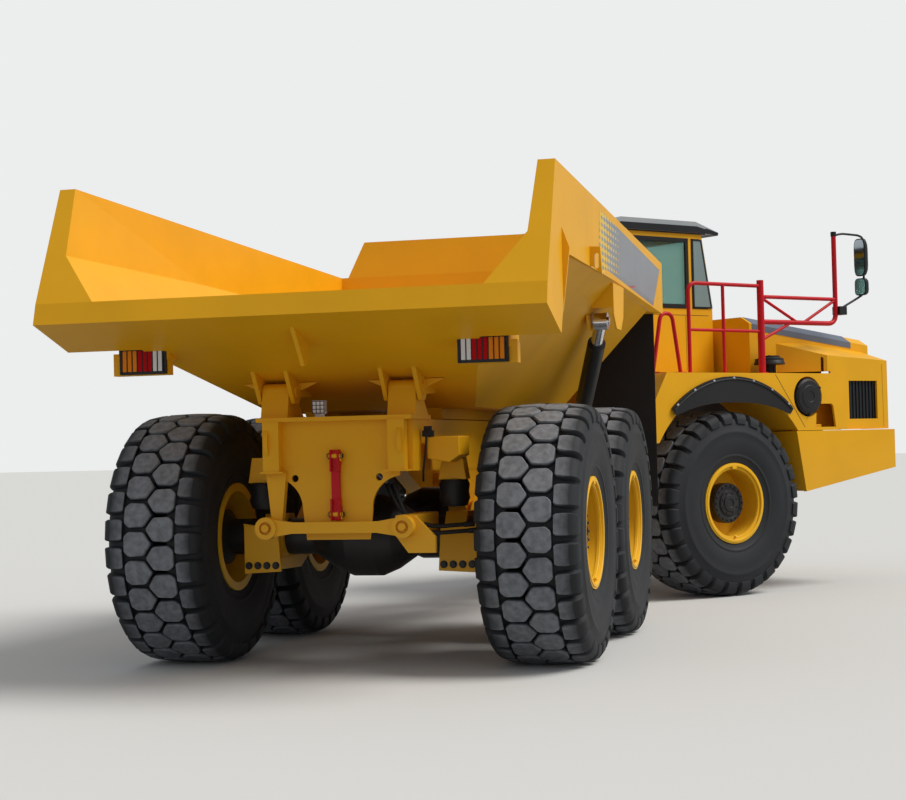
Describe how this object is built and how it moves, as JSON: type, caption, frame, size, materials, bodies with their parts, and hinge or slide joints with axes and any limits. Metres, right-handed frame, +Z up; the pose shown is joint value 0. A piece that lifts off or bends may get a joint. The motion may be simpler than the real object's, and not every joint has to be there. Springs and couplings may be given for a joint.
{
  "type": "articulated dump truck",
  "caption": "Articulated six-wheel dump truck with a tipping tub body, hinged in the middle, tractor unit turned to the right.",
  "frame": {"origin": "on the floor under the middle of the parked machine", "axes": "+Y forward along the rear unit, +X to its right, +Z up"},
  "size_m": [5.5921, 11.3358, 3.9033],
  "materials": {
    "machine_yellow": "semi-gloss enamel",
    "rim_yellow": "gloss enamel",
    "tyre_rubber": "matte",
    "black_paint": "satin",
    "black_rubber": "satin",
    "chrome_rod": "polished",
    "rail_red": "gloss enamel",
    "cab_glass": "clear",
    "roof_grey": "semi-gloss",
    "lamp_housing": "gloss",
    "lamp_lens": "gloss",
    "cab_trim": "matte",
    "seat_fabric": "woven",
    "cast_engine": "painted"
  },
  "bodies": {
    "rear_unit": {"rear_frame": "machine_yellow", "hinge_towers": "machine_yellow", "mid_axle": "black_paint", "rear_axle": "black_paint", "bogie_beams": "machine_yellow", "axle_rods": "machine_yellow", "lock_link": "rail_red", "work_lamp": "lamp_lens", "prop_shafts": "black_paint"},
    "hitch": {"hitch_yoke": "machine_yellow"},
    "tractor": {"front_frame": "machine_yellow", "front_axle": "black_paint", "wings": "machine_yellow", "arch_lips": "black_rubber", "bumper": "machine_yellow", "air_cleaner": "black_paint", "cab_shell": "machine_yellow", "cab_roof": "roof_grey", "cab_glass": "cab_glass", "seat": "seat_fabric", "steering_console": "cab_trim", "hand_rails": "rail_red", "mirrors": "black_paint", "engine_block": "cast_engine", "grille": "black_paint", "head_lamps": "lamp_lens", "exhaust": "black_paint"},
    "dump_body": {"dump_tub": "machine_yellow", "tub_underframe": "machine_yellow", "tail_lamps": "lamp_housing", "mud_flaps": "black_rubber"},
    "wheel_front_right": {"tyre_front_right": "tyre_rubber", "rim_front_right": "rim_yellow"},
    "wheel_front_left": {"tyre_front_left": "tyre_rubber", "rim_front_left": "rim_yellow"},
    "wheel_mid_right": {"tyre_mid_right": "tyre_rubber", "rim_mid_right": "rim_yellow"},
    "wheel_mid_left": {"tyre_mid_left": "tyre_rubber", "rim_mid_left": "rim_yellow"},
    "wheel_rear_right": {"tyre_rear_right": "tyre_rubber", "rim_rear_right": "rim_yellow"},
    "wheel_rear_left": {"tyre_rear_left": "tyre_rubber", "rim_rear_left": "rim_yellow"},
    "hoist_barrel_right": {"hoist_barrel_right": "black_paint"},
    "hoist_rod_right": {"hoist_rod_right": "chrome_rod"},
    "hoist_barrel_left": {"hoist_barrel_left": "black_paint"},
    "hoist_rod_left": {"hoist_rod_left": "chrome_rod"},
    "steer_barrel_right": {"steer_barrel_right": "black_paint"},
    "steer_rod_right": {"steer_rod_right": "chrome_rod"},
    "steer_barrel_left": {"steer_barrel_left": "black_paint"},
    "steer_rod_left": {"steer_rod_left": "chrome_rod"},
    "cab_door": {"cab_door": "machine_yellow", "door_glass": "cab_glass"},
    "hood": {"hood": "machine_yellow", "vent_screens": "black_paint"}
  },
  "joints": [
    {"name": "oscillation", "type": "hinge", "parent": "rear_unit", "child": "hitch", "pos_m": [-1.01684, 1.01614, 1.18], "axis": [0, 1, 0], "range_deg": [-15, 15]},
    {"name": "steer", "type": "hinge", "parent": "hitch", "child": "tractor", "pos_m": [-1.01684, 1.61614, 1.18], "axis": [0, 0, 1], "range_deg": [-5.1, 84.9]},
    {"name": "dump_tilt", "type": "hinge", "parent": "rear_unit", "child": "dump_body", "pos_m": [-1.01684, -4.42786, 2], "axis": [1, 0, 0], "range_deg": [0, 70]},
    {"name": "roll_front_right", "type": "hinge", "parent": "tractor", "child": "wheel_front_right", "pos_m": [0.93401, 1.819, 0.9375], "axis": [0.7672, -0.6414, 0], "continuous": true},
    {"name": "roll_front_left", "type": "hinge", "parent": "tractor", "child": "wheel_front_left", "pos_m": [-1.16265, 3.57208, 0.9375], "axis": [0.7672, -0.6414, 0], "continuous": true},
    {"name": "roll_mid_right", "type": "hinge", "parent": "rear_unit", "child": "wheel_mid_right", "pos_m": [0.34966, -1.86286, 0.9375], "axis": [1, 0, 0], "continuous": true},
    {"name": "roll_mid_left", "type": "hinge", "parent": "rear_unit", "child": "wheel_mid_left", "pos_m": [-2.38334, -1.86286, 0.9375], "axis": [1, 0, 0], "continuous": true},
    {"name": "roll_rear_right", "type": "hinge", "parent": "rear_unit", "child": "wheel_rear_right", "pos_m": [0.34966, -3.81286, 0.9375], "axis": [1, 0, 0], "continuous": true},
    {"name": "roll_rear_left", "type": "hinge", "parent": "rear_unit", "child": "wheel_rear_left", "pos_m": [-2.38334, -3.81286, 0.9375], "axis": [1, 0, 0], "continuous": true},
    {"name": "hoist_pivot_right", "type": "hinge", "parent": "rear_unit", "child": "hoist_barrel_right", "pos_m": [-0.21684, -0.08786, 1.2], "axis": [0.5188, 0.5427, 0.6606], "range_deg": [-8.29, 0.01]},
    {"name": "hoist_stroke_right", "type": "slide", "parent": "hoist_barrel_right", "child": "hoist_rod_right", "axis": [0.2684, -0.837, 0.4768], "range_m": [-0.001, 2.282]},
    {"name": "hoist_pivot_left", "type": "hinge", "parent": "rear_unit", "child": "hoist_barrel_left", "pos_m": [-1.81684, -0.08786, 1.2], "axis": [0.5188, -0.5427, -0.6606], "range_deg": [-8.29, 0.01]},
    {"name": "hoist_stroke_left", "type": "slide", "parent": "hoist_barrel_left", "child": "hoist_rod_left", "axis": [-0.2684, -0.837, 0.4768], "range_m": [-0.001, 2.282]},
    {"name": "steer_pivot_right", "type": "hinge", "parent": "tractor", "child": "steer_barrel_right", "pos_m": [0.21182, 2.08785, 0.99], "axis": [0, 0, 1], "range_deg": [-13.66, 0.83]},
    {"name": "steer_stroke_right", "type": "slide", "parent": "steer_barrel_right", "child": "steer_rod_right", "axis": [-0.7058, -0.7085, 0], "range_m": [-0.04, 0.6502]},
    {"name": "steer_pivot_left", "type": "hinge", "parent": "tractor", "child": "steer_barrel_left", "pos_m": [-0.77016, 2.90891, 0.99], "axis": [0, 0, 1], "range_deg": [-11.84, 0.72]},
    {"name": "steer_stroke_left", "type": "slide", "parent": "steer_barrel_left", "child": "steer_rod_left", "axis": [-0.3849, -0.923, 0], "range_m": [-0.675, 0.0415]},
    {"name": "door_swing", "type": "hinge", "parent": "tractor", "child": "cab_door", "pos_m": [-1.13929, 2.82911, 2.9], "axis": [0, 0, 1], "range_deg": [0, 85]},
    {"name": "hood_tilt", "type": "hinge", "parent": "tractor", "child": "hood", "pos_m": [1.44633, 4.56205, 1.7], "axis": [-0.7672, 0.6414, 0], "range_deg": [0, 65]}
  ],
  "couplings": [
    {"joint": "hoist_pivot_right", "follows": "dump_tilt", "ratio": -0.11835},
    {"joint": "hoist_stroke_right", "follows": "dump_tilt", "m_per_rad": 1.867},
    {"joint": "steer_pivot_right", "follows": "steer", "ratio": -0.16081},
    {"joint": "steer_stroke_right", "follows": "steer", "m_per_rad": 0.43813},
    {"joint": "hoist_pivot_left", "follows": "dump_tilt", "ratio": -0.11835},
    {"joint": "hoist_stroke_left", "follows": "dump_tilt", "m_per_rad": 1.867},
    {"joint": "steer_pivot_left", "follows": "steer", "ratio": -0.13939},
    {"joint": "steer_stroke_left", "follows": "steer", "m_per_rad": -0.45489}
  ]
}
